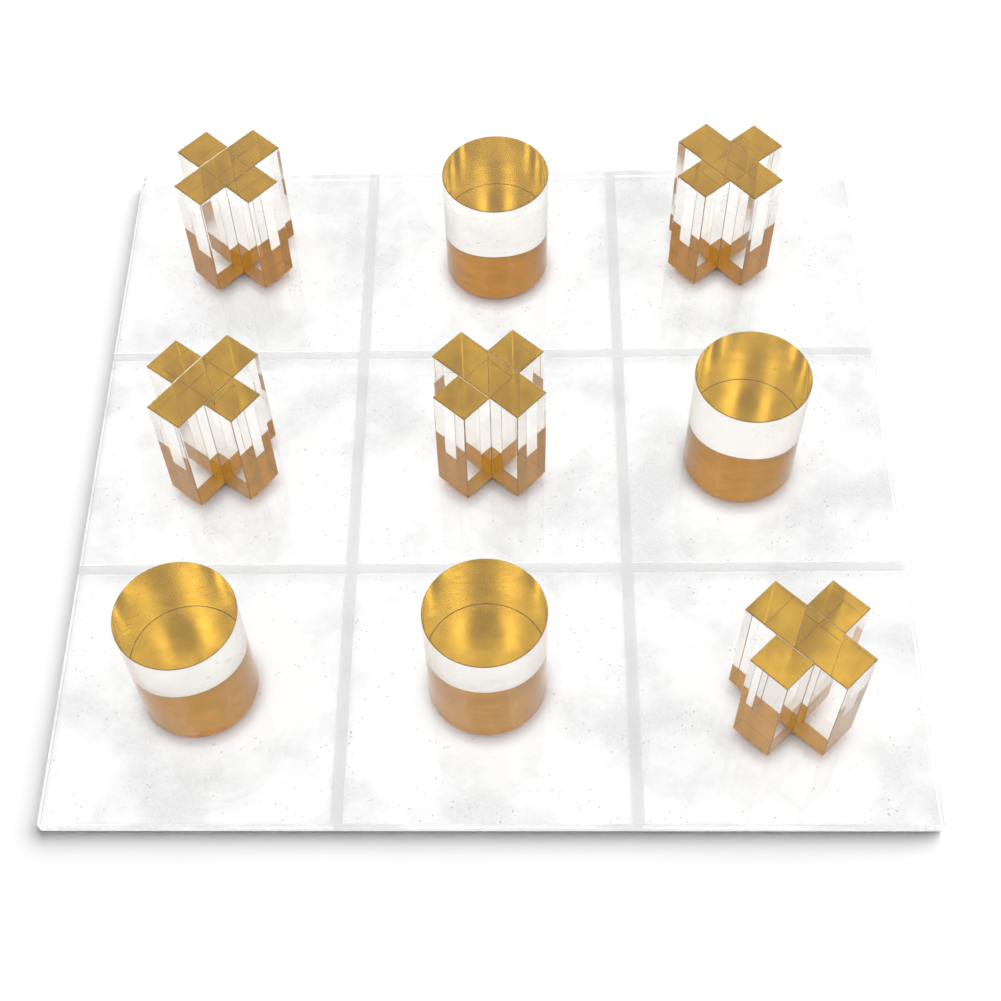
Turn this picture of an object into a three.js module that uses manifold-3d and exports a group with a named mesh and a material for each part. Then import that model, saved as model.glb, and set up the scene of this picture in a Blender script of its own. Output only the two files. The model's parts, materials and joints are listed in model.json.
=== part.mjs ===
// A clear acrylic tic tac toe set: a square board with four frosted grooves, five crosses and four
// discs. Each playing piece is solid clear acrylic with a gold base bonded under it. A cross is one
// long bar with a shorter block cemented to each side of it.
// Millimetres. Origin: centre of the board's underside. +X right, +Y to the rear row, +Z up.

import * as THREE from "three";
import { mergeVertices } from "three/addons/utils/BufferGeometryUtils.js";
import Module from "manifold-3d";

const wasm = await Module();
wasm.setup();

// ---- Driving dimensions ----
const INCH = 25.4;

const board = {
  side: 11 * INCH, // the sheet is square
  thickness: 5.6, // what a nominal quarter-inch cast sheet measures
  grooveWidth: 4,
  grooveDepth: 0.5,
};

const piece = {
  height: 1.75 * INCH, // from the board to the top face, gold base included
  discDiameter: 1.5 * INCH, // a slice of round rod
  armWidth: 0.5 * INCH, // half-inch square bar
  baseThickness: 0.4,
  arris: 0.3, // the small bevel round a disc's polished ends
};

const bondLine = 0.05; // cement between two bonded faces
const restGap = 0.05; // a standing piece's base above the board
const discSegments = 72;

// ---- The game as it stands ----
// Each piece stands in the cell of its row and column, a little off centre, as a hand left it.
// offset is from the cell's centre in mm; turn is the long bar's angle from +X in degrees.
const cells = { left: -1, centre: 0, right: 1, front: -1, middle: 0, rear: 1 };
const pieces = [
  { kind: "cross", row: "rear", column: "left", offset: [-1.8, 4.5], turn: 45 },
  { kind: "disc", row: "rear", column: "centre", offset: [2.2, -0.7] },
  { kind: "cross", row: "rear", column: "right", offset: [-6.8, 4.2], turn: -51.5 },
  { kind: "cross", row: "middle", column: "left", offset: [-0.7, -0.9], turn: 50 },
  { kind: "cross", row: "middle", column: "centre", offset: [0.5, 0.7], turn: -45 },
  { kind: "disc", row: "middle", column: "right", offset: [-6.1, -1.1] },
  { kind: "disc", row: "front", column: "left", offset: [-0.4, 2.3] },
  { kind: "disc", row: "front", column: "centre", offset: [-0.2, 2.9] },
  { kind: "cross", row: "front", column: "right", offset: [3, -5.1], turn: -47 },
];

// ---- Worked out from them ----
const cellSide = board.side / 3;
const armLength = 3 * piece.armWidth; // a cross is three bar widths from end to end
const blockLength = (armLength - piece.armWidth) / 2 - bondLine;
const clearHeight = piece.height - piece.baseThickness - bondLine;

// ---- Materials ----
const clearAcrylic = { color: 0xf4f6f5, roughness: 0.03, metalness: 0 };
const goldFilm = { color: 0xc8963c, roughness: 0.3, metalness: 1 };
const materialOf = (look) => new THREE.MeshStandardMaterial(look);

// ---- Helpers ----
function solidOf(geometry) {
  const plain = new THREE.BufferGeometry()
    .setAttribute("position", geometry.getAttribute("position"))
    .setIndex(geometry.index);
  const merged = mergeVertices(plain);
  return new wasm.Manifold(
    new wasm.Mesh({
      numProp: 3,
      vertProperties: merged.attributes.position.array,
      triVerts: new Uint32Array(merged.index.array),
    }),
  );
}

function geometryOf(solid) {
  const mesh = solid.getMesh();
  const geometry = new THREE.BufferGeometry()
    .setAttribute("position", new THREE.BufferAttribute(mesh.vertProperties, 3))
    .setIndex(new THREE.BufferAttribute(mesh.triVerts, 1));
  geometry.computeVertexNormals();
  return geometry;
}

function named(name, geometry, look) {
  const mesh = new THREE.Mesh(geometry, materialOf(look));
  mesh.name = name;
  return mesh;
}

// A plate or block standing on z = 0, with the outline in the XY plane.
function standing(outline, height) {
  return new THREE.ExtrudeGeometry(new THREE.Shape(outline), { depth: height, bevelEnabled: false });
}

function rectangle(length, width) {
  const [x, y] = [length / 2, width / 2];
  return [[-x, -y], [x, -y], [x, y], [-x, y]].map(([px, py]) => new THREE.Vector2(px, py));
}

// A plus sign of two crossed bars, walked round one arm at a time.
function crossOutline(length, width) {
  const [tip, half] = [length / 2, width / 2];
  const arm = [[tip, -half], [tip, half], [half, half]];
  const centre = new THREE.Vector2();
  const corners = [];
  for (let quarter = 0; quarter < 4; quarter++) {
    const turn = (quarter * Math.PI) / 2;
    for (const [x, y] of arm) corners.push(new THREE.Vector2(x, y).rotateAround(centre, turn));
  }
  return corners;
}

// A round slice standing on z = 0, with its rims bevelled by arris (0 for a sharp edge).
function slice(diameter, height, arris) {
  const radius = diameter / 2;
  const sharpRim = [[radius, 0], [radius, height]];
  const bevelledRim = [
    [radius - arris, 0], [radius, arris],
    [radius, height - arris], [radius - arris, height],
  ];
  const profile = [[0, 0], ...(arris > 0 ? bevelledRim : sharpRim), [0, height]];
  const points = profile.map(([r, z]) => new THREE.Vector2(r, z));
  return new THREE.LatheGeometry(points, discSegments).rotateX(Math.PI / 2);
}

// ---- The board ----
function boardSheet() {
  let sheet = solidOf(standing(rectangle(board.side, board.side), board.thickness));
  const cutLength = board.side + 2; // runs out past both edges
  const cutHeight = 2 * board.grooveDepth;
  for (const side of [-1, 1]) {
    for (const [length, width, x, y] of [
      [board.grooveWidth, cutLength, (side * cellSide) / 2, 0],
      [cutLength, board.grooveWidth, 0, (side * cellSide) / 2],
    ]) {
      const cutter = standing(rectangle(length, width), cutHeight);
      cutter.translate(x, y, board.thickness - board.grooveDepth);
      sheet = sheet.subtract(solidOf(cutter));
    }
  }
  return named("board_sheet", geometryOf(sheet), clearAcrylic);
}

// ---- The playing pieces, each built round its own upright axis ----
function disc(name) {
  const group = new THREE.Group();
  const clear = slice(piece.discDiameter, clearHeight, piece.arris);
  clear.translate(0, 0, piece.baseThickness + bondLine);
  group.add(named(`${name}_clear_disc`, clear, clearAcrylic));
  group.add(named(`${name}_gold_base`, slice(piece.discDiameter, piece.baseThickness, 0), goldFilm));
  return group;
}

function cross(name) {
  const group = new THREE.Group();
  const bottom = piece.baseThickness + bondLine;

  const bar = standing(rectangle(armLength, piece.armWidth), clearHeight);
  group.add(named(`${name}_long_bar`, bar.translate(0, 0, bottom), clearAcrylic));

  const blockCentre = (armLength - blockLength) / 2;
  for (const [side, sign] of [["left", 1], ["right", -1]]) {
    const block = standing(rectangle(piece.armWidth, blockLength), clearHeight);
    block.translate(0, sign * blockCentre, bottom);
    group.add(named(`${name}_${side}_block`, block, clearAcrylic));
  }

  const base = standing(crossOutline(armLength, piece.armWidth), piece.baseThickness);
  group.add(named(`${name}_gold_base`, base, goldFilm));
  return group;
}

// ---- The set ----
const set = new THREE.Group();
set.add(boardSheet());

for (const { kind, row, column, offset, turn = 0 } of pieces) {
  const name = `${kind}_${row}_${column}`;
  const group = kind === "cross" ? cross(name) : disc(name);
  group.position.set(
    cells[column] * cellSide + offset[0],
    cells[row] * cellSide + offset[1],
    board.thickness + restGap,
  );
  group.rotation.z = THREE.MathUtils.degToRad(turn);
  set.add(group);
}

export default set;
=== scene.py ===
# %% [markdown]
# # A clear tic tac toe set, finished around its measured frame
# The frame holds every solid of the set at its real size: a square clear board with four milled
# grooves, five crosses and four discs. This lesson gives those solids their finish: polished acrylic,
# frosted grooves and satin gold seen through the clear pieces.

import json
import math

import bpy
import numpy as np
from mathutils import Matrix, Vector

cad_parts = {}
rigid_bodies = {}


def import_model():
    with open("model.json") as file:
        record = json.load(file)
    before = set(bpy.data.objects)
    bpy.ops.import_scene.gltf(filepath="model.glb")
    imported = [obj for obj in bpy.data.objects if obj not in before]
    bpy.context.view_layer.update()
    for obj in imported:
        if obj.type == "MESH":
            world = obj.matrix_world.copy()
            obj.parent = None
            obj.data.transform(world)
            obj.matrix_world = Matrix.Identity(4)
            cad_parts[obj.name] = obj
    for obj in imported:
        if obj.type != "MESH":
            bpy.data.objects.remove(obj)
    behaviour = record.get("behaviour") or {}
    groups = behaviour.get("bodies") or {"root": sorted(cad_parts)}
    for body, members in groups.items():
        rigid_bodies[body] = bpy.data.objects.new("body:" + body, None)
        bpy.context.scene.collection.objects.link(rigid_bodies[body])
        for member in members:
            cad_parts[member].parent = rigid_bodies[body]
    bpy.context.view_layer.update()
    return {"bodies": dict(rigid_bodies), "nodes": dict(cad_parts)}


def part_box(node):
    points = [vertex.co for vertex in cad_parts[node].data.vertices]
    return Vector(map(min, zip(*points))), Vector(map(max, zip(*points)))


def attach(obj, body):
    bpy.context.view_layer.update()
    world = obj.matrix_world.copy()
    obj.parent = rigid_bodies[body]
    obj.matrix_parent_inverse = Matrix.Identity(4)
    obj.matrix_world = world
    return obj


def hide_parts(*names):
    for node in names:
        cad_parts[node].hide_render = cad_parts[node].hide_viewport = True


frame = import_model()
MM = 0.001

# %% [markdown]
# ## Reading the frame
# Nothing is measured twice. The board's thickness, its grooves, the height of a piece, the width of its
# bar and the way it is turned all come from the frame's own solids. A cross is turned by hand on its
# cell, so its angle is read from the long bar: the bar is three times as long as it is wide, and its
# corners spread the most along it.
#
# This reading has a known fault. The frame repeats a corner for every triangle that meets there, which
# makes 8 of two corners of a bar and 10 of the other two. The corners that are there more often pull
# the direction round. So each clear cross is turned 2.4 degrees past its own solids, and its bar comes
# out 38.6 by 14.3 mm, where the solid one is 38.1 by 12.7 mm. Counting each corner once would mend it.

# %% Helpers that read a node
def corners_in_plan(node):
    """The corners of a node, looked at from above."""
    return np.array([vertex.co.xy for vertex in frame["nodes"][node].data.vertices])


def turn_of(bar):
    """The angle of a long bar from the X axis, in radians, but 2.4 degrees too great, as told above."""
    plan = corners_in_plan(bar)
    spread = np.linalg.svd(plan - plan.mean(axis=0))[2][0]
    return math.atan2(spread[1], spread[0])


def size_along(node, turn):
    """A node's length and width, measured along and across that turn."""
    turned = corners_in_plan(node) @ np.array(
        [[math.cos(turn), -math.sin(turn)], [math.sin(turn), math.cos(turn)]]
    )
    return turned.max(axis=0) - turned.min(axis=0)


def steps_of(node, axis):
    """The places along an axis where a node has corners, in order."""
    return sorted({round(getattr(vertex.co, axis), 6) for vertex in frame["nodes"][node].data.vertices})


# %% Read the board's sizes
sheet_low, sheet_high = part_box("board_sheet")
board_side = sheet_high.x - sheet_low.x
board_top = sheet_high.z
cell_side = board_side / 3
across_groove = [x for x in steps_of("board_sheet", "x") if abs(x + cell_side / 2) < cell_side / 4]
groove_width = across_groove[-1] - across_groove[0]
groove_floor, top_face = steps_of("board_sheet", "z")[-2:]
groove_depth = top_face - groove_floor
print("board", round(board_side / MM, 1), "mm square and", round(board_top / MM, 2), "mm thick")
print("grooves", round(groove_width / MM, 2), "mm wide and", round(groove_depth / MM, 2), "mm deep")

# %% Read the pieces' sizes
crosses = sorted(name for name in frame["bodies"] if name.startswith("cross_"))
discs = sorted(name for name in frame["bodies"] if name.startswith("disc_"))
bar_length, bar_width = size_along(crosses[0] + "_long_bar", turn_of(crosses[0] + "_long_bar"))
disc_low, disc_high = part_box(discs[0] + "_clear_disc")
disc_diameter = disc_high.x - disc_low.x
piece_top = disc_high.z
gold_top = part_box(discs[0] + "_gold_base")[1].z
print("bar", round(bar_length / MM, 2), "by", round(bar_width / MM, 2), "mm")
print("disc", round(disc_diameter / MM, 2), "mm across")

# %% [markdown]
# ## The camera
# The set is looked at from the front and well above, standing close, so the far cells look clearly
# smaller than the near ones. The camera could be aimed with a tracking constraint, but a hand-held
# camera also leans, so it is placed by where it stands and three turns: the way it faces, how far it
# looks down, and how far it leans to one side. A small lens shift sets the board in the frame without
# changing its perspective.

# %% Make the camera
eye = Vector((10.54, -331.82, 456.55)) * MM
facing, looking_down, leaning = (math.radians(angle) for angle in (-3.561, 59.192, -3.287))

forward = Vector((
    math.sin(facing) * math.cos(looking_down),
    math.cos(facing) * math.cos(looking_down),
    -math.sin(looking_down),
))
level = Vector((math.cos(facing), -math.sin(facing), 0))
upright = level.cross(forward)
across = math.cos(leaning) * level + math.sin(leaning) * upright
upwards = math.cos(leaning) * upright - math.sin(leaning) * level

camera = bpy.data.objects.new("camera", bpy.data.cameras.new("camera"))
camera.data.sensor_width = 36
camera.data.lens = 56.85
camera.data.shift_x = 0.0305
camera.data.shift_y = 0.1103
camera.data.clip_start = 0.01
camera.matrix_world = Matrix.Translation(eye) @ Matrix((across, upwards, -forward)).transposed().to_4x4()
bpy.context.scene.collection.objects.link(camera)
bpy.context.scene.camera = camera
print("camera stands", round(eye.length, 3), "m from the middle of the board")

# %% [markdown]
# ## How light is counted
# Light that enters a clear piece bounces between its faces many times before it comes out. With the
# usual limits those paths end early and the acrylic turns black inside, so the limits are high. Mirror
# images in the gold stay sharp because glossy paths aren't blurred.

# %% Set the limits
scene = bpy.context.scene
scene.view_settings.view_transform = "Standard"
scene.cycles.max_bounces = 128
scene.cycles.transmission_bounces = 64
scene.cycles.glossy_bounces = 128
scene.cycles.diffuse_bounces = 4
scene.cycles.blur_glossy = 0
print("light may bounce", scene.cycles.max_bounces, "times")


# %% Helpers for all trees of nodes
def add_node(tree, kind, **settings):
    """A new node in a tree, with its properties set."""
    node = tree.nodes.new(kind)
    for name, value in settings.items():
        setattr(node, name, value)
    return node


def math_node(tree, operation, *values):
    """A sum, from sockets or plain numbers."""
    node = add_node(tree, "ShaderNodeMath", operation=operation)
    for socket, value in zip(node.inputs, values):
        if isinstance(value, bpy.types.NodeSocket):
            tree.links.new(value, socket)
        else:
            socket.default_value = value
    return node.outputs[0]


def vector_math(tree, operation, socket, other, output):
    """A sum of a vector socket and a plain vector."""
    node = add_node(tree, "ShaderNodeVectorMath", operation=operation)
    tree.links.new(socket, node.inputs[0])
    node.inputs[1].default_value = other
    return node.outputs[output]


def remap(tree, value, low, high, to_low=0, to_high=1):
    """Turns the stretch from low to high into to_low to to_high, and stays flat outside it."""
    node = add_node(tree, "ShaderNodeMapRange")
    for socket, number in zip(("From Min", "From Max", "To Min", "To Max"), (low, high, to_low, to_high)):
        node.inputs[socket].default_value = number
    tree.links.new(value, node.inputs["Value"])
    return node.outputs["Result"]


def bare_material(name):
    """A material whose tree is still empty."""
    material = bpy.data.materials.new(name)
    material.use_nodes = True
    material.node_tree.nodes.clear()
    return material, material.node_tree


# %% [markdown]
# ## The tent
# Clear acrylic has no look of its own: it shows what stands around it. A room picture would fill it
# with strange shapes, so a white tent stands all round, as in a product studio. It has two broad soft
# lights and darkens a little towards the horizon, so upright clear faces still show at a low view.
#
# One tent can't suit everything, so it shows each ray what it needs. The bare floor sees little of it,
# and is left to the key light. The floor under the board sees a light overhead, since light comes down
# to it through the sheet. A look straight at the tent shows plain white.

# %% Make the tent
TENT_LIGHT = 1.0
TENT_ON_FLOOR = 0.09
BACKDROP = 1.0
OVERHEAD_LIGHT, OVERHEAD_LOW, OVERHEAD_HIGH = 1.33, 0.35, 0.6
HORIZON_LIGHT, HORIZON_LOW, HORIZON_HIGH = 0.72, 0.08, 0.4
SHEET_CROSSINGS = 4  # down through both faces of the sheet, and up again through both
SOFT_LIGHTS = (
    {"azimuth": 0, "elevation": 52, "core": 25, "rim": 60, "strength": 0.35},
    {"azimuth": 90, "elevation": 50, "core": 20, "rim": 60, "strength": 0.15},
)


def soft_light(tree, direction, azimuth, elevation, core, rim, strength):
    """A round light on the tent that fades out between its core and its rim. Angles are in degrees."""
    azimuth, elevation, core, rim = (math.radians(angle) for angle in (azimuth, elevation, core, rim))
    axis = Vector((
        math.sin(azimuth) * math.cos(elevation),
        math.cos(azimuth) * math.cos(elevation),
        math.sin(elevation),
    ))
    patch = add_node(tree, "ShaderNodeMapRange", interpolation_type="SMOOTHSTEP")
    patch.inputs["From Min"].default_value = math.cos(rim)
    patch.inputs["From Max"].default_value = math.cos(core)
    patch.inputs["To Max"].default_value = strength
    tree.links.new(vector_math(tree, "DOT_PRODUCT", direction, axis, "Value"), patch.inputs["Value"])
    return patch.outputs["Result"]


def swap_light(tree, light, share, other):
    """The first level of light where share is 0, and the other where it is 1."""
    kept = math_node(tree, "MULTIPLY", light, math_node(tree, "SUBTRACT", 1.0, share))
    return math_node(tree, "ADD", kept, math_node(tree, "MULTIPLY", share, other))


def make_tent():
    """White all round, with soft lights. What a ray meets depends on where it has been."""
    world = bpy.data.worlds.new("tent")
    world.use_nodes = True
    world.cycles.sampling_method = "NONE"
    tree = world.node_tree
    tree.nodes.clear()
    direction = add_node(tree, "ShaderNodeTexCoord").outputs["Generated"]
    light = TENT_LIGHT
    for soft in SOFT_LIGHTS:
        light = math_node(tree, "ADD", soft_light(tree, direction, **soft), light)
    parted = add_node(tree, "ShaderNodeSeparateXYZ")
    tree.links.new(direction, parted.inputs[0])
    height = parted.outputs["Z"]
    from_level = math_node(tree, "ABSOLUTE", height)
    horizon = remap(tree, from_level, HORIZON_LOW, HORIZON_HIGH, HORIZON_LIGHT, 1)
    light = math_node(tree, "MULTIPLY", light, horizon)
    path = add_node(tree, "ShaderNodeLightPath").outputs
    from_floor = math_node(tree, "GREATER_THAN", path["Diffuse Depth"], 0.5)
    through_sheet = math_node(tree, "GREATER_THAN", path["Transmission Depth"], SHEET_CROSSINGS - 0.5)
    from_under_board = math_node(tree, "MULTIPLY", from_floor, through_sheet)
    overhead = remap(tree, height, OVERHEAD_LOW, OVERHEAD_HIGH, 0, OVERHEAD_LIGHT)
    light = swap_light(tree, light, from_floor, TENT_ON_FLOOR)
    light = swap_light(tree, light, from_under_board, overhead)
    light = swap_light(tree, light, path["Is Camera Ray"], BACKDROP)
    tent = add_node(tree, "ShaderNodeBackground")
    tent.inputs["Color"].default_value = (1, 1, 1, 1)
    tree.links.new(light, tent.inputs["Strength"])
    tree.links.new(tent.outputs[0], add_node(tree, "ShaderNodeOutputWorld").inputs["Surface"])
    return world


scene.world = make_tent()
print("tent with", len(SOFT_LIGHTS), "soft lights")

# %% [markdown]
# ## The floor
# A matt white table, so wide that its edge is never seen. A curved studio backdrop would do as well,
# but only the table shows here. It lies a hair below the board, because two faces in one plane would
# show through each other in specks.

# %% Make the floor
FLOOR_WHITE = 0.92
FLOOR_GAP = 0.2 * MM
FLOOR_REACH = 30 * board_side


def make_floor():
    """A plain white table under the set."""
    corners = ((-1, -1), (1, -1), (1, 1), (-1, 1))
    mesh = bpy.data.meshes.new("floor")
    mesh.from_pydata([(x * FLOOR_REACH, y * FLOOR_REACH, -FLOOR_GAP) for x, y in corners], [], [range(4)])
    material = bpy.data.materials.new("floor_white")
    material.use_nodes = True
    surface = material.node_tree.nodes["Principled BSDF"]
    surface.inputs["Base Color"].default_value = (FLOOR_WHITE, FLOOR_WHITE, FLOOR_WHITE, 1)
    surface.inputs["Roughness"].default_value = 1
    surface.inputs["Specular IOR Level"].default_value = 0
    mesh.materials.append(material)
    floor = bpy.data.objects.new("floor", mesh)
    scene.collection.objects.link(floor)


make_floor()
print("floor reaches", round(FLOOR_REACH, 1), "m each way")

# %% [markdown]
# ## The ring light
# Gold is a mirror, even when it is satin, so its bright and dull patches are pictures of the lamps and
# of whoever stands between them. The wall of a clear disc and its gold base meet at a right angle, so
# together they send light back the way it came, and each disc shows the place of the camera: a dim
# round spot with a bright patch at each side. A ring of light round the camera does that: dim in the
# middle, where the person stands, brightest to the left and right, and fading out at its rim. It could
# be painted on the tent, but it stands close, and only a real ring is mirrored in the right place.

# %% The ring light's shape
SHADE_RADIUS, BRIGHT_RADIUS, RING_RADIUS = 120 * MM, 215 * MM, 400 * MM
RING_STEPS = 96


def circle_round_eye(radius):
    """Points on a circle round the camera's eye, square to the way it looks."""
    turns = [2 * math.pi * step / RING_STEPS for step in range(RING_STEPS)]
    return [eye + radius * (math.cos(turn) * across + math.sin(turn) * upwards) for turn in turns]


def make_ring_mesh():
    """A round shade, with a flat ring round it."""
    ring = []
    for step in range(RING_STEPS):
        following = (step + 1) % RING_STEPS
        ring.append((step, following, RING_STEPS + following, RING_STEPS + step))
    mesh = bpy.data.meshes.new("ring_light")
    circles = circle_round_eye(SHADE_RADIUS) + circle_round_eye(RING_RADIUS)
    mesh.from_pydata(circles, [], [range(RING_STEPS), *ring])
    return mesh


# %% The ring light's glow
SHADE_LIGHT, RING_LIGHT = 0.66, 2.4
SIDE_FALLOFF = 1.5
FADE_RADIUS = 1.1 * BRIGHT_RADIUS


def make_ring_glow():
    """Dim in the middle, brightest at the sides, fading out at the rim, and gone for the floor."""
    material, tree = bare_material("ring_light")
    where = add_node(tree, "ShaderNodeTexCoord").outputs["Object"]
    distance = vector_math(tree, "DISTANCE", where, eye, "Value")
    from_eye = vector_math(tree, "SUBTRACT", where, eye, "Vector")
    sideways = vector_math(tree, "DOT_PRODUCT", from_eye, across, "Value")
    lean = math_node(tree, "ABSOLUTE", math_node(tree, "DIVIDE", sideways, distance))
    beside = math_node(tree, "MULTIPLY", math_node(tree, "POWER", lean, SIDE_FALLOFF), RING_LIGHT)
    brightest = math_node(tree, "ADD", beside, 1.0 - SHADE_LIGHT)
    rise = remap(tree, distance, SHADE_RADIUS, BRIGHT_RADIUS)
    lit = math_node(tree, "MULTIPLY", rise, brightest)
    glow = add_node(tree, "ShaderNodeEmission")
    tree.links.new(math_node(tree, "ADD", lit, SHADE_LIGHT), glow.inputs["Strength"])
    faded = remap(tree, distance, FADE_RADIUS, RING_RADIUS)
    path = add_node(tree, "ShaderNodeLightPath").outputs
    for_floor = math_node(tree, "GREATER_THAN", path["Diffuse Depth"], 0.5)
    fade = add_node(tree, "ShaderNodeMixShader")
    tree.links.new(math_node(tree, "MAXIMUM", faded, for_floor), fade.inputs["Fac"])
    tree.links.new(glow.outputs[0], fade.inputs[1])
    tree.links.new(add_node(tree, "ShaderNodeBsdfTransparent").outputs[0], fade.inputs[2])
    tree.links.new(fade.outputs[0], add_node(tree, "ShaderNodeOutputMaterial").inputs["Surface"])
    return material


# %% Hang the ring light
def hang_ring_light():
    """Puts the ring round the camera, where only mirrored and refracted rays meet it."""
    mesh = make_ring_mesh()
    mesh.materials.append(make_ring_glow())
    light = bpy.data.objects.new("ring_light", mesh)
    light.visible_camera = light.visible_diffuse = light.visible_shadow = False
    scene.collection.objects.link(light)


hang_ring_light()
print("ring light", round(2 * RING_RADIUS / MM), "mm across")

# %% [markdown]
# ## The key light
# The thickness of the board throws a soft shadow on the table, to the front and to the left. A lamp as
# broad as a window, high behind the right rear corner, makes it: a smaller lamp would draw a hard edge.
# Only the board blocks this lamp, because clear pieces on a clear board throw hardly any shadow of
# their own, and the lamp is kept out of mirror images, where the tent already does its work.

# %% Make the key light
KEY_ON_FLOOR = 1.01
KEY_HEIGHT, KEY_SIDE, KEY_SPREAD = (math.radians(angle) for angle in (39, 38, 80))


def make_key_light(blockers):
    """One broad light, high behind the right rear corner, that only the blockers stop."""
    light = bpy.data.lights.new("key_light", "SUN")
    light.angle = KEY_SPREAD
    light.energy = KEY_ON_FLOOR * math.pi / (FLOOR_WHITE * math.sin(KEY_HEIGHT))
    key = bpy.data.objects.new("key_light", light)
    key.rotation_euler = (math.pi / 2 - KEY_HEIGHT, 0, math.pi - KEY_SIDE)
    key.visible_transmission = False
    key.visible_glossy = False
    key.light_linking.blocker_collection = blockers
    scene.collection.objects.link(key)


shadow_makers = bpy.data.collections.new("shadow_makers")
make_key_light(shadow_makers)
print("key light", round(math.degrees(KEY_HEIGHT)), "degrees up")

# %% [markdown]
# ## Materials
# Each finish is one Principled shader: transmission for acrylic, metal for gold. An image could carry
# the wear, but it would have to be unwrapped onto every piece. The patterns here are procedural and
# read Object coordinates, which are the same as places on the table, so a pattern stays put on its
# piece and no two pieces look alike.

# %% Helpers for materials
ACRYLIC_IOR = 1.49


def new_surface(name, **values):
    """A material with one Principled shader, whose plain values are set on its own sockets."""
    material = bpy.data.materials.new(name)
    material.use_nodes = True
    tree = material.node_tree
    surface = tree.nodes["Principled BSDF"]
    for socket, value in values.items():
        surface.inputs[socket.replace("_", " ")].default_value = value
    where = add_node(tree, "ShaderNodeTexCoord").outputs["Object"]
    return material, tree, surface, where


def new_acrylic(name, clear=1.0, **values):
    """A plastic that lets through as much light as clear says: all of it at 1, none at 0."""
    return new_surface(name, Transmission_Weight=clear, IOR=ACRYLIC_IOR, **values)


def noise(tree, where, size, detail=3.0, roughness=0.5, stretch=(1, 1, 1)):
    """A cloudy pattern from 0 to 1, whose patches are about that size in metres."""
    mapping = add_node(tree, "ShaderNodeMapping")
    mapping.inputs["Scale"].default_value = stretch
    pattern = add_node(tree, "ShaderNodeTexNoise")
    pattern.inputs["Scale"].default_value = 1 / size
    pattern.inputs["Detail"].default_value = detail
    pattern.inputs["Roughness"].default_value = roughness
    tree.links.new(where, mapping.inputs["Vector"])
    tree.links.new(mapping.outputs["Vector"], pattern.inputs["Vector"])
    return pattern.outputs["Fac"]


def blend_colours(tree, share, first, second):
    """The first colour where share is 0 and the second where it is 1. Each is a colour or a socket."""
    node = add_node(tree, "ShaderNodeMix", data_type="RGBA")
    tree.links.new(share, node.inputs["Factor"])
    sockets = [socket for socket in node.inputs if socket.type == "RGBA"]
    for socket, colour in zip(sockets, (first, second)):
        if isinstance(colour, tuple):
            socket.default_value = (*colour, 1)
        else:
            tree.links.new(colour, socket)
    return next(socket for socket in node.outputs if socket.type == "RGBA")


def bump(tree, surface, height, depth):
    """Presses a pattern into the surface, to that depth in metres."""
    node = add_node(tree, "ShaderNodeBump")
    node.inputs["Distance"].default_value = depth
    tree.links.new(height, node.inputs["Height"])
    tree.links.new(node.outputs["Normal"], surface.inputs["Normal"])


# %% [markdown]
# ## Clear acrylic for the pieces
# The crosses and discs are cast acrylic, polished on every side. It is as clear as glass, with a hint
# of warmth where light takes a long way through it. Handled pieces carry a haze of finger marks, which
# shows as slightly softer mirror images here and there, so the haze only drives the roughness.

# %% Make the clear acrylic
WARM_CLEAR = (1, 0.985, 0.955, 1)
MOST_HAZE = 0.02


def make_clear_piece():
    material, tree, surface, where = new_acrylic("clear_piece", Base_Color=WARM_CLEAR)
    haze = remap(tree, noise(tree, where, 9 * MM, detail=4), 0.45, 0.75, 0, MOST_HAZE)
    tree.links.new(haze, surface.inputs["Roughness"])
    return material


clear_piece = make_clear_piece()
print(clear_piece.name)

# %% [markdown]
# ## The clouded sheet
# Grey cloudy patches lie in the board, each made of fine grain, and small crumbs of dust gather in a
# few places. They could be a thin layer of their own above the acrylic. They are a tint in the acrylic
# instead, because it then needs no second surface that light must cross.

# %% Make the clouded sheet
# The grey of the cloudy patches, and the dark of the dust crumbs.
CLEAN, CLOUDED, DUSTY = (1, 1, 1), (0.76, 0.76, 0.765), (0.45, 0.45, 0.46)
CLOUD_SIZE, CLOUD_GRAIN = 40 * MM, 0.8 * MM
CRUMB_SPACING, CRUMB_PATCH = 2.6 * MM, 13 * MM


def make_clear_sheet():
    material, tree, surface, where = new_acrylic("clear_sheet", Roughness=0.0)
    clouds = remap(tree, noise(tree, where, CLOUD_SIZE, detail=8, roughness=0.68), 0.50, 0.60)
    grain = remap(tree, noise(tree, where, CLOUD_GRAIN, detail=5, roughness=0.8), 0.45, 0.70, 0.2, 1.0)
    clouded = blend_colours(tree, math_node(tree, "MULTIPLY", clouds, grain), CLEAN, CLOUDED)
    crumbs = add_node(tree, "ShaderNodeTexVoronoi")
    crumbs.inputs["Scale"].default_value = 1 / CRUMB_SPACING
    tree.links.new(where, crumbs.inputs["Vector"])
    small = remap(tree, crumbs.outputs["Distance"], 0.08, 0.13, 1, 0)
    few = remap(tree, noise(tree, where, CRUMB_PATCH, detail=2), 0.50, 0.56)
    dusty = blend_colours(tree, math_node(tree, "MULTIPLY", small, few), clouded, DUSTY)
    tree.links.new(dusty, surface.inputs["Base Color"])
    return material


clear_sheet = make_clear_sheet()
print(clear_sheet.name)

# %% [markdown]
# ## The frosted grooves
# A milling cutter leaves acrylic frosted: light still passes, but no picture does. High roughness gives
# the blur and a fine bump gives the tool's grain. A white paint would look alike from above, but it
# would stay opaque at the groove's ends, where the real ones let light through.

# %% Make the frosted grooves
FROST_DARK, FROST_LIGHT = (0.70, 0.71, 0.705), (0.80, 0.81, 0.805)
TOOL_GRAIN, TOOL_DEPTH = 0.35 * MM, 0.06 * MM


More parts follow.
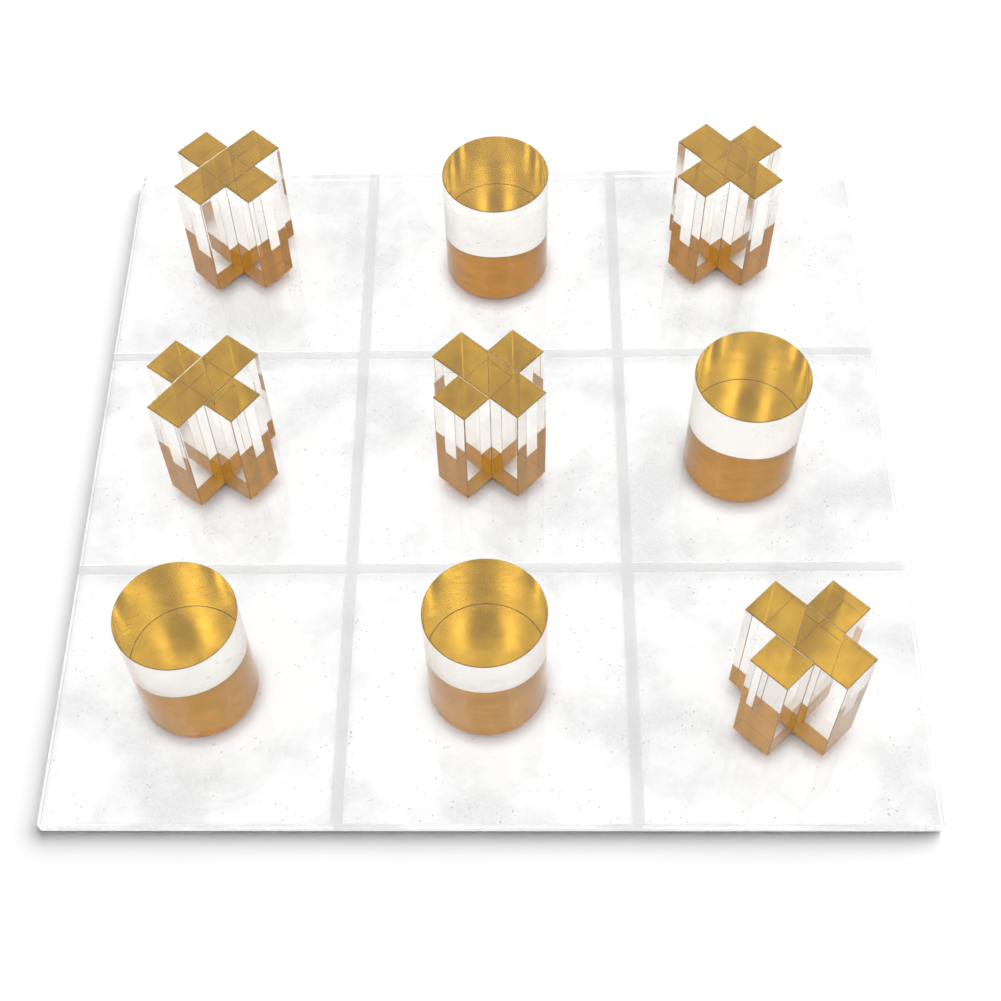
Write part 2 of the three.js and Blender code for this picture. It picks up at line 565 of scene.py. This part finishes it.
def make_frosted_groove():
    material, tree, surface, where = new_acrylic("frosted_groove", Roughness=0.45)
    grain = remap(tree, noise(tree, where, 1.6 * MM, detail=6, roughness=0.75), 0.3, 0.7)
    tree.links.new(blend_colours(tree, grain, FROST_DARK, FROST_LIGHT), surface.inputs["Base Color"])
    bump(tree, surface, noise(tree, where, TOOL_GRAIN, detail=4), TOOL_DEPTH)
    return material


frosted_groove = make_frosted_groove()
print(frosted_groove.name)

# %% [markdown]
# ## Satin gold
# The gold layer under each piece is a metal film with a satin face. Its tone drifts over a few
# millimetres, and a fine grain darkens it further and roughens it. A thin tinted coat deepens the
# colour where it is seen at a slant, as through the side of a piece, which plain metal doesn't do.

# %% Make the satin gold
GOLD_DEEP, GOLD_BRIGHT, GOLD_GRAIN = (0.65, 0.535, 0.062), (0.89, 0.755, 0.10), (0.36, 0.27, 0.04)
GOLD_TINT, GOLD_COAT_IOR = (0.72, 0.515, 0.35, 1), 1.02
GRAIN_SHARE = 0.5


def make_gold():
    material, tree, surface, where = new_surface(
        "satin_gold", Metallic=1.0, Coat_Weight=1.0, Coat_IOR=GOLD_COAT_IOR, Coat_Tint=GOLD_TINT
    )
    tone = remap(tree, noise(tree, where, 5 * MM, detail=6, roughness=0.7), 0.35, 0.65)
    grain = noise(tree, where, 0.6 * MM, detail=5, roughness=0.75)
    broad = blend_colours(tree, tone, GOLD_DEEP, GOLD_BRIGHT)
    fine = math_node(tree, "MULTIPLY", remap(tree, grain, 0.3, 0.7), GRAIN_SHARE)
    tree.links.new(blend_colours(tree, fine, broad, GOLD_GRAIN), surface.inputs["Base Color"])
    tree.links.new(remap(tree, grain, 0.3, 0.7, 0.20, 0.29), surface.inputs["Roughness"])
    return material


satin_gold = make_gold()
print(satin_gold.name)

# %% [markdown]
# ## The back of the film
# Seen from outside the acrylic, the film is a copper brown, half metal and half lacquer. It shows as
# the thin edge under each piece and in the board's mirror images, so a simple mottled tone is enough.

# %% Make the film's back
FILM_DARK, FILM_LIGHT = (0.74, 0.32, 0.14), (0.84, 0.41, 0.19)


def make_film_back():
    material, tree, surface, where = new_surface("film_back", Metallic=0.3, Roughness=0.5)
    tone = remap(tree, noise(tree, where, 3 * MM, detail=5), 0.3, 0.7)
    tree.links.new(blend_colours(tree, tone, FILM_DARK, FILM_LIGHT), surface.inputs["Base Color"])
    return material


film_back = make_film_back()
print(film_back.name)

# %% [markdown]
# ## The board's polished edge
# A sawn edge that is polished by hand is clear, but not as flat as the faces. Upright polishing marks
# blur it a little, so their pattern is squeezed to run up the edge. Its grey tint is painted shade, so
# the edges show as grey strips, and the tone of the tint varies along its length.

# %% Make the polished edge
# Painted shade: a grey tint on the board's upright faces and on the groove walls.
EDGE_SHADE_DARK, EDGE_SHADE_LIGHT = (0.80, 0.805, 0.81), (0.94, 0.945, 0.945)
UPRIGHT_MARKS = (1, 1, 0.08)
MARK_DEPTH = 0.02 * MM


def make_polished_edge():
    material, tree, surface, where = new_acrylic("polished_edge")
    marks = noise(tree, where, 0.9 * MM, detail=3, stretch=UPRIGHT_MARKS)
    tone = remap(tree, noise(tree, where, 14 * MM, detail=4), 0.4, 0.6)
    tree.links.new(blend_colours(tree, tone, EDGE_SHADE_DARK, EDGE_SHADE_LIGHT), surface.inputs["Base Color"])
    tree.links.new(remap(tree, marks, 0.3, 0.7, 0.02, 0.10), surface.inputs["Roughness"])
    bump(tree, surface, marks, MARK_DEPTH)
    return material


polished_edge = make_polished_edge()
print(polished_edge.name)

# %% [markdown]
# ## Scraped edges, cement and painted shade lines
# Every sharp edge of a piece is scraped to a narrow flat, called an arris. It catches the light as a fine
# line, pale on the upright corners. Round the top it is painted dark, and at the foot, where it meets the
# film, nearly black: both are painted shade. The cement between blocks shows as a cream line on top,
# and the bead in each inner corner is painted dark as painted shade. All five are the same rough, nicked
# plastic, so one recipe with a colour and a clearness makes them all.

# %% Make the scraped edges and the cement
ARRIS_ROUGHNESS = 0.4
NICK_SIZE, NICK_DARKNESS = 1.5 * MM, 0.8


def make_arris(name, colour, clear):
    material, tree, surface, where = new_acrylic(name, clear, Roughness=ARRIS_ROUGHNESS)
    nicks = remap(tree, noise(tree, where, NICK_SIZE, detail=5), 0.35, 0.65)
    darker = tuple(NICK_DARKNESS * channel for channel in colour)
    tree.links.new(blend_colours(tree, nicks, darker, colour), surface.inputs["Base Color"])
    return material


scraped_arris = make_arris("scraped_arris", (1.0, 0.95, 0.86), 1.0)
# Painted shade: the dark line round the top of each piece.
rim_shade_line = make_arris("rim_shade_line", (0.26, 0.19, 0.09), 0.4)
# Painted shade: the nearly black line at the foot, where a piece meets its film.
foot_shade_line = make_arris("foot_shade_line", (0.10, 0.055, 0.025), 0.0)
cement_line = make_arris("cement_line", (1.0, 0.88, 0.68), 0.0)
# Painted shade: the dark bead in each inner corner of a cross.
corner_shade_bead = make_arris("corner_shade_bead", (0.34, 0.29, 0.24), 0.4)
print(scraped_arris.name, rim_shade_line.name, foot_shade_line.name, cement_line.name, corner_shade_bead.name)

# %% [markdown]
# ## Geometry Nodes trees
# The crosses and discs are the same few shapes repeated, and the board is a sheet with one groove
# repeated, so each is made by a tree of nodes with its sizes as named inputs. Modelling them by hand
# would do for one piece, but a change of size would then have to be made nine times.

# %% Helpers for the trees
def new_tree(name, **inputs):
    """A Geometry Nodes tree with named inputs and one geometry output."""
    tree = bpy.data.node_groups.new(name, "GeometryNodeTree")
    tree.interface.new_socket("Geometry", in_out="OUTPUT", socket_type="NodeSocketGeometry")
    kinds = {float: "NodeSocketFloat", int: "NodeSocketInt"}
    for label, value in inputs.items():
        kind = kinds.get(type(value), "NodeSocketMaterial")
        socket = tree.interface.new_socket(label.replace("_", " "), in_out="INPUT", socket_type=kind)
        socket.default_value = value
    given = {socket.name: socket for socket in add_node(tree, "NodeGroupInput").outputs if socket.name}
    return tree, given, add_node(tree, "NodeGroupOutput").inputs[0]


def plug(tree, node, **sources):
    """Feeds a node's inputs from sockets or plain values, and returns its first output."""
    for label, source in sources.items():
        socket = node.inputs[label.replace("_", " ")]
        if isinstance(source, bpy.types.NodeSocket):
            tree.links.new(source, socket)
        else:
            socket.default_value = source
    return node.outputs[0]


def vector(tree, x=0.0, y=0.0, z=0.0):
    return plug(tree, add_node(tree, "ShaderNodeCombineXYZ"), X=x, Y=y, Z=z)


def moved(tree, geometry, x=0.0, y=0.0, z=0.0):
    node = add_node(tree, "GeometryNodeTransform")
    return plug(tree, node, Geometry=geometry, Translation=vector(tree, x, y, z))


def turned(tree, geometry, **angles):
    """Turns a shape about the X, Y or Z axis, by angles in radians."""
    node = add_node(tree, "GeometryNodeTransform")
    rotation = tuple(angles.get(axis, 0) for axis in "xyz")
    return plug(tree, node, Geometry=geometry, Rotation=rotation)


def real_copies(tree, geometry):
    return plug(tree, add_node(tree, "GeometryNodeRealizeInstances"), Geometry=geometry)


def copies_on(tree, points, shape):
    """One real copy of a shape on each point."""
    node = add_node(tree, "GeometryNodeInstanceOnPoints")
    return real_copies(tree, plug(tree, node, Points=points, Instance=shape))


def hull(tree, *parts):
    """The tightest skin round some shapes."""
    together = add_node(tree, "GeometryNodeJoinGeometry")
    for part in reversed(parts):
        tree.links.new(part, together.inputs[0])
    return plug(tree, add_node(tree, "GeometryNodeConvexHull"), Geometry=together.outputs[0])


def boolean(tree, operation, body, *others):
    node = add_node(tree, "GeometryNodeMeshBoolean", operation=operation, solver="EXACT")
    if operation == "DIFFERENCE":
        tree.links.new(body, node.inputs["Mesh 1"])
    else:
        others = (body, *others)
    for other in reversed(others):
        tree.links.new(other, node.inputs["Mesh 2"])
    return node.outputs["Mesh"]


# %% [markdown]
# ## The polished block
# Every block of acrylic here is a box with its edges scraped off at an angle. A Bevel modifier could
# cut them, but each edge here has its own width: the foot is scraped less than the top. A hull does it
# in one go. It is the tightest skin round four plain boxes: two carry the sides, one is narrower and
# reaches the top, and one is narrower and reaches the foot.

# %% The tree for a polished block
def less(tree, size, cut, times=1.0):
    """A size with a cut taken off it, once or as often as times says."""
    return math_node(tree, "SUBTRACT", size, math_node(tree, "MULTIPLY", cut, times))


def between_heights(tree, shape, bottom, top):
    """Stands a shape that is centred on the origin between two heights."""
    return moved(tree, shape, z=math_node(tree, "MULTIPLY", math_node(tree, "ADD", bottom, top), 0.5))


def upright_box(tree, length, width, bottom, top):
    size = vector(tree, length, width, less(tree, top, bottom))
    return between_heights(tree, plug(tree, add_node(tree, "GeometryNodeMeshCube"), Size=size), bottom, top)


def make_block_tree():
    """A block that stands on its lower face, with an arris on every edge."""
    tree, given, result = new_tree(
        "polished_block",
        Length=0.0, Width=0.0, Height=0.0, Arris=0.0, Corner_Arris=0.0, Base_Arris=0.0,
    )
    length, width, height, arris, corner, foot = (
        given[label] for label in ("Length", "Width", "Height", "Arris", "Corner Arris", "Base Arris")
    )
    shoulder = less(tree, height, arris)
    boxes = [
        upright_box(tree, less(tree, length, end_cut, 2.0), less(tree, width, side_cut, 2.0), bottom, top)
        for end_cut, side_cut, bottom, top in (
            (0.0, corner, foot, shoulder),
            (corner, 0.0, foot, shoulder),
            (arris, arris, foot, height),
            (foot, foot, 0.0, shoulder),
        )
    ]
    tree.links.new(hull(tree, *boxes), result)
    return tree


polished_block = make_block_tree()
print(polished_block.name)


def block(tree, **sources):
    """A polished block inside another tree."""
    node = add_node(tree, "GeometryNodeGroup", node_tree=polished_block)
    return plug(tree, node, **sources)


# %% [markdown]
# ## Which face gets which finish
# Faces could be picked by hand, but their numbers change with every size. What a face is can be told
# from the way it looks: straight down is the gold face, slanting up is a top arris, slanting down is a
# foot arris, and an upright face that looks along a diagonal is a corner arris.

# %% Helpers that paint faces
ARRIS_LOW, ARRIS_HIGH = 0.4, 0.9  # an arris slants by about 45 degrees, so it looks up or down by 0.7
CORNER_LOW, CORNER_HIGH = 0.45, 0.55  # x times y is 0.5 where a face looks along a diagonal


def slope_of(tree, axis):
    """How far each face looks along x, y or z, from -1 to 1."""
    normal = add_node(tree, "ShaderNodeSeparateXYZ")
    tree.links.new(add_node(tree, "GeometryNodeInputNormal").outputs[0], normal.inputs[0])
    return normal.outputs[axis]


def size_of(tree, value):
    return math_node(tree, "ABSOLUTE", value)


def both(tree, first, second):
    """1 where two tests both say 1, and 0 elsewhere."""
    return math_node(tree, "MULTIPLY", first, second)


def between(tree, value, low, high):
    return both(
        tree, math_node(tree, "GREATER_THAN", value, low), math_node(tree, "LESS_THAN", value, high)
    )


def on_corner(tree):
    """1 on the upright faces that look along a diagonal."""
    diagonal = size_of(tree, math_node(tree, "MULTIPLY", slope_of(tree, "X"), slope_of(tree, "Y")))
    return between(tree, diagonal, CORNER_LOW, CORNER_HIGH)


def painted(tree, geometry, material, faces=True):
    """Gives some faces a material: all of them, unless faces says which."""
    node = add_node(tree, "GeometryNodeSetMaterial")
    return plug(tree, node, Geometry=geometry, Selection=faces, Material=material)


def paint_rim_and_foot(tree, geometry, given):
    """The arrises round the top and round the foot, which carry the painted shade lines."""
    upward = slope_of(tree, "Z")
    geometry = painted(tree, geometry, given["Rim"], between(tree, upward, ARRIS_LOW, ARRIS_HIGH))
    return painted(tree, geometry, given["Foot"], between(tree, upward, -ARRIS_HIGH, -ARRIS_LOW))


def paint_gold(tree, geometry, given):
    """Gold on the face that looks straight down."""
    looks_down = math_node(tree, "LESS_THAN", slope_of(tree, "Z"), -ARRIS_HIGH)
    return painted(tree, geometry, given["Gold"], looks_down)


# %% [markdown]
# ## The crosses
# A cross is one long bar with a short block cemented to each side. Three bodies that touch would show
# an air gap at each joint, but cement has the same optical density as acrylic and makes the joints
# vanish. So the tree makes three blocks that overlap by a hair and joins them into one clear body. Only
# the two arrises that meet at a joint leave a thin groove across the top, and cement that was squeezed
# out leaves a bead up each inner corner: a small square rod, turned by 45 degrees, on each corner of
# a grid of two by two points. The lowest face carries the gold, because the film is bonded to the
# acrylic with no air between, and that contact is what makes the gold show through every side.

# %% The parts of a cross
def cross_blocks(tree, given):
    """The long bar and the short block at each side of it."""
    length, width = given["Bar Length"], given["Bar Width"]
    shared = {
        label: given[label.replace("_", " ")] for label in ("Height", "Arris", "Corner_Arris", "Base_Arris")
    }
    bar = block(tree, Length=length, Width=width, **shared)
    reach = math_node(tree, "MULTIPLY", math_node(tree, "SUBTRACT", length, width), 0.5)
    depth = math_node(tree, "ADD", reach, given["Overlap"])
    out = math_node(tree, "MULTIPLY", math_node(tree, "SUBTRACT", length, depth), 0.5)
    side = block(tree, Length=width, Width=depth, **shared)
    left = moved(tree, side, y=out)
    right = moved(tree, side, y=math_node(tree, "MULTIPLY", out, -1.0))
    return bar, left, right


def cement_beads(tree, given):
    """A bead of cement up each of the four inner corners, which carries the painted shade of that corner.
    """
    width, bead = given["Bar Width"], given["Bead"]
    shoulder = less(tree, given["Height"], given["Arris"])
    rod = turned(tree, upright_box(tree, bead, bead, given["Base Arris"], shoulder), z=math.pi / 4)
    grid = add_node(tree, "GeometryNodeMeshGrid")
    corners = plug(tree, grid, Size_X=width, Size_Y=width, Vertices_X=2, Vertices_Y=2)
    return copies_on(tree, corners, rod)


# %% The finishes of a cross
def paint_cement_and_bead_shade(tree, geometry, given):
    """Beads are the corner faces near the bar and carry painted shade. Joint lines are the top arrises
    along its sides.
    """
    place = add_node(tree, "ShaderNodeSeparateXYZ")
    tree.links.new(add_node(tree, "GeometryNodeInputPosition").outputs[0], place.inputs[0])
    endways, sideways = (size_of(tree, place.outputs[axis]) for axis in "XY")
    half = math_node(tree, "MULTIPLY", given["Bar Width"], 0.5)
    near = math_node(tree, "ADD", half, given["Bead"])
    inner = both(
        tree, math_node(tree, "LESS_THAN", endways, near), math_node(tree, "LESS_THAN", sideways, near)
    )
    geometry = painted(tree, geometry, given["Squeezed Cement"], both(tree, inner, on_corner(tree)))
    beside_bar = between(tree, sideways, half, math_node(tree, "ADD", half, given["Arris"]))
    looks_at_bar = math_node(tree, "GREATER_THAN", size_of(tree, slope_of(tree, "Y")), ARRIS_LOW)
    on_rim = between(tree, slope_of(tree, "Z"), ARRIS_LOW, ARRIS_HIGH)
    joint = both(tree, beside_bar, both(tree, looks_at_bar, on_rim))
    return painted(tree, geometry, given["Joint"], joint)


# %% The tree for a cross
def make_cross_tree():
    tree, given, result = new_tree(
        "cemented_cross", Bar_Length=0.0, Bar_Width=0.0, Height=0.0, Arris=0.0, Corner_Arris=0.0,
        Base_Arris=0.0, Overlap=0.0, Bead=0.0, Acrylic=clear_piece, Corner=scraped_arris, Rim=rim_shade_line,
        Joint=cement_line, Squeezed_Cement=corner_shade_bead, Foot=foot_shade_line, Gold=satin_gold,
    )
    body = boolean(tree, "UNION", *cross_blocks(tree, given), cement_beads(tree, given))
    body = painted(tree, real_copies(tree, body), given["Acrylic"])
    body = painted(tree, body, given["Corner"], on_corner(tree))
    body = paint_cement_and_bead_shade(tree, paint_rim_and_foot(tree, body, given), given)
    tree.links.new(paint_gold(tree, body, given), result)
    return tree


cross_tree = make_cross_tree()
print(cross_tree.name, "with", len(cross_tree.nodes), "nodes")

# %% [markdown]
# ## The discs
# A disc is a slice of clear rod with its two rims scraped. A turned profile would make it too, but the
# hull of three plain rods is the same shape and needs no profile: one rod carries the wall, one the
# top and one the foot.

# %% The tree for a disc
ROD_SIDES = 128


def make_disc_tree():
    tree, given, result = new_tree(
        "rod_slice", Diameter=0.0, Height=0.0, Arris=0.0, Base_Arris=0.0, Sides=ROD_SIDES,
        Acrylic=clear_piece, Rim=rim_shade_line, Foot=foot_shade_line, Gold=satin_gold,
    )
    radius, height = math_node(tree, "MULTIPLY", given["Diameter"], 0.5), given["Height"]
    arris, foot = given["Arris"], given["Base Arris"]
    shoulder = less(tree, height, arris)
    rods = []
    for reach, bottom, top in (
        (radius, foot, shoulder),
        (less(tree, radius, arris), foot, height),
        (less(tree, radius, foot), 0.0, shoulder),
    ):
        rod = add_node(tree, "GeometryNodeMeshCylinder")
        rod = plug(tree, rod, Vertices=given["Sides"], Radius=reach, Depth=less(tree, top, bottom))
        rods.append(between_heights(tree, rod, bottom, top))
    body = painted(tree, real_copies(tree, hull(tree, *rods)), given["Acrylic"])
    body = paint_rim_and_foot(tree, body, given)
    tree.links.new(paint_gold(tree, body, given), result)
    return tree


disc_tree = make_disc_tree()
print(disc_tree.name, "with", len(disc_tree.nodes), "nodes")

# %% [markdown]
# ## Standing the pieces on the board
# A tree only lives in a modifier, so each piece is grown once, copied to a plain mesh and put in place,
# and its modifier is taken off. The place goes into the mesh itself, so every object stays at the
# origin and its patterns stay where they belong. Each piece stands a hundredth of a millimetre above
# its film, which keeps the gold face and the film apart.

# %% Helpers that grow a piece
SHARP_ANGLE = math.radians(25)


def grow(tree, name, place, **values):
    """Runs a tree, puts what it made in place and returns it as an object with a plain mesh."""
    piece = bpy.data.objects.new(name, bpy.data.meshes.new(name))
    scene.collection.objects.link(piece)
    modifier = piece.modifiers.new("tree", "NODES")
    modifier.node_group = tree
    labels = {item.name: item.identifier for item in tree.interface.items_tree if item.in_out == "INPUT"}
    for label, value in values.items():
        modifier[labels[label.replace("_", " ")]] = value
    bpy.context.view_layer.update()
    made = bpy.data.meshes.new_from_object(piece.evaluated_get(bpy.context.evaluated_depsgraph_get()))
    piece.modifiers.clear()
    piece.data = made
    made.name = name
    made.transform(place)
    return piece


def smooth_round(piece):
    """Shades a turned piece as round, and keeps its real edges crisp."""
    piece.data.shade_smooth()
    piece.data.set_sharp_from_angle(angle=SHARP_ANGLE)


def stand_in_plan(name):
    """Where a piece stands, looked at from above."""
    low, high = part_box(name + "_gold_base")
    return (low + high) / 2


# %% Stand the crosses
ARRIS = 0.22 * MM
FOOT_ARRIS = 0.07 * MM
JOINT_OVERLAP = 0.02 * MM
BEAD = 0.22 * MM
CONTACT = 0.01 * MM
stand = gold_top + CONTACT

for name in crosses:
    middle = stand_in_plan(name)
    turn = turn_of(name + "_long_bar")
    body = grow(
        cross_tree, name + "_clear_body",
        Matrix.Translation((middle.x, middle.y, stand)) @ Matrix.Rotation(turn, 4, "Z"),
        Bar_Length=float(bar_length), Bar_Width=float(bar_width), Height=piece_top - stand,
        Arris=ARRIS, Corner_Arris=ARRIS, Base_Arris=FOOT_ARRIS, Overlap=JOINT_OVERLAP, Bead=BEAD,
    )
    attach(body, name)
    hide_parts(name + "_long_bar", name + "_left_block", name + "_right_block")
    print(name, "turned", round(math.degrees(turn)), "degrees,", len(body.data.polygons), "faces")

# %% Stand the discs
DISC_FOOT_ARRIS = 2 * FOOT_ARRIS

for name in discs:
    middle = stand_in_plan(name)
    body = grow(
        disc_tree, name + "_clear_body", Matrix.Translation((middle.x, middle.y, stand)),
        Diameter=disc_diameter, Height=piece_top - stand, Arris=ARRIS, Base_Arris=DISC_FOOT_ARRIS,
    )
    smooth_round(body)
    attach(body, name)
    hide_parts(name + "_clear_disc")
    print(name, len(body.data.polygons), "faces")

# %% Finish the films
for name in crosses + discs:
    frame["nodes"][name + "_gold_base"].data.materials[0] = film_back
print(len(crosses + discs), "films")

# %% [markdown]
# ## The board
# The board is one polished sheet with four straight grooves milled across its top, two each way. The
# tree does as the mill does: it makes the sheet, lays one cutter on each groove's line and takes them
# all away. The cutter carries the groove's finish, frosted below and polished at the sides, and the
# faces that it leaves behind keep that finish. A painted line would be simpler, but only a real groove
# shows its depth at the edge of the board.

# %% The tree for the board
CUTTER_LENGTH, CUTTER_HEIGHT = 1.1, 3.0  # in board sides and in groove depths
FLAT_FACE = 0.5  # a face that looks up or down by more is part of a groove's floor or its corner


def groove_cutter(tree, given):
    """The shape that one groove takes away, with a frosted floor and polished walls."""
    wide, deep, corner = (given[label] for label in ("Groove Width", "Groove Depth", "Groove Corner"))
    tool = block(
        tree, Length=math_node(tree, "MULTIPLY", given["Side"], CUTTER_LENGTH), Width=wide,
        Height=math_node(tree, "MULTIPLY", deep, CUTTER_HEIGHT), Arris=corner, Corner_Arris=corner,
    )
    above = math_node(tree, "MULTIPLY", deep, CUTTER_HEIGHT - 1.0)
    lifted = moved(tree, turned(tree, tool, x=math.pi), z=math_node(tree, "ADD", given["Thickness"], above))
    flat = math_node(tree, "GREATER_THAN", size_of(tree, slope_of(tree, "Z")), FLAT_FACE)
    return painted(tree, painted(tree, lifted, given["Edge"]), given["Frost"], flat)


def groove_lines(tree, given):
    """Two points, one on the line of each groove that runs the same way."""
    half = math_node(tree, "MULTIPLY", given["Groove Spacing"], 0.5)
    line = add_node(tree, "GeometryNodeMeshLine", mode="END_POINTS")
    start = vector(tree, y=math_node(tree, "MULTIPLY", half, -1.0))
    return plug(tree, line, Count=2, Start_Location=start, Offset=vector(tree, y=half))


def make_board_tree():
    tree, given, result = new_tree(
        "grooved_sheet", Side=0.0, Thickness=0.0, Arris=0.0, Groove_Width=0.0, Groove_Depth=0.0,
        Groove_Corner=0.0, Groove_Spacing=0.0, Acrylic=clear_sheet, Edge=polished_edge,
        Frost=frosted_groove,
    )
    side, arris = given["Side"], given["Arris"]
    sheet = block(
        tree, Length=side, Width=side, Height=given["Thickness"], Arris=arris, Corner_Arris=arris
    )
    upright_face = math_node(tree, "LESS_THAN", size_of(tree, slope_of(tree, "Z")), ARRIS_HIGH)
    sheet = painted(tree, painted(tree, sheet, given["Acrylic"]), given["Edge"], upright_face)
    along = copies_on(tree, groove_lines(tree, given), groove_cutter(tree, given))
    athwart = turned(tree, along, z=math.pi / 2)
    tree.links.new(real_copies(tree, boolean(tree, "DIFFERENCE", sheet, along, athwart)), result)
    return tree


# %% Lay the board
GROOVE_CORNER = 0.12 * MM

board = grow(
    make_board_tree(), "board_clear_sheet", Matrix.Identity(4),
    Side=board_side, Thickness=board_top, Arris=ARRIS, Groove_Width=groove_width,
    Groove_Depth=groove_depth, Groove_Corner=GROOVE_CORNER, Groove_Spacing=cell_side,
)
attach(board, "board")
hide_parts("board_sheet")
shadow_makers.objects.link(board)
print("board", len(board.data.polygons), "faces in", len(board.data.materials), "finishes")
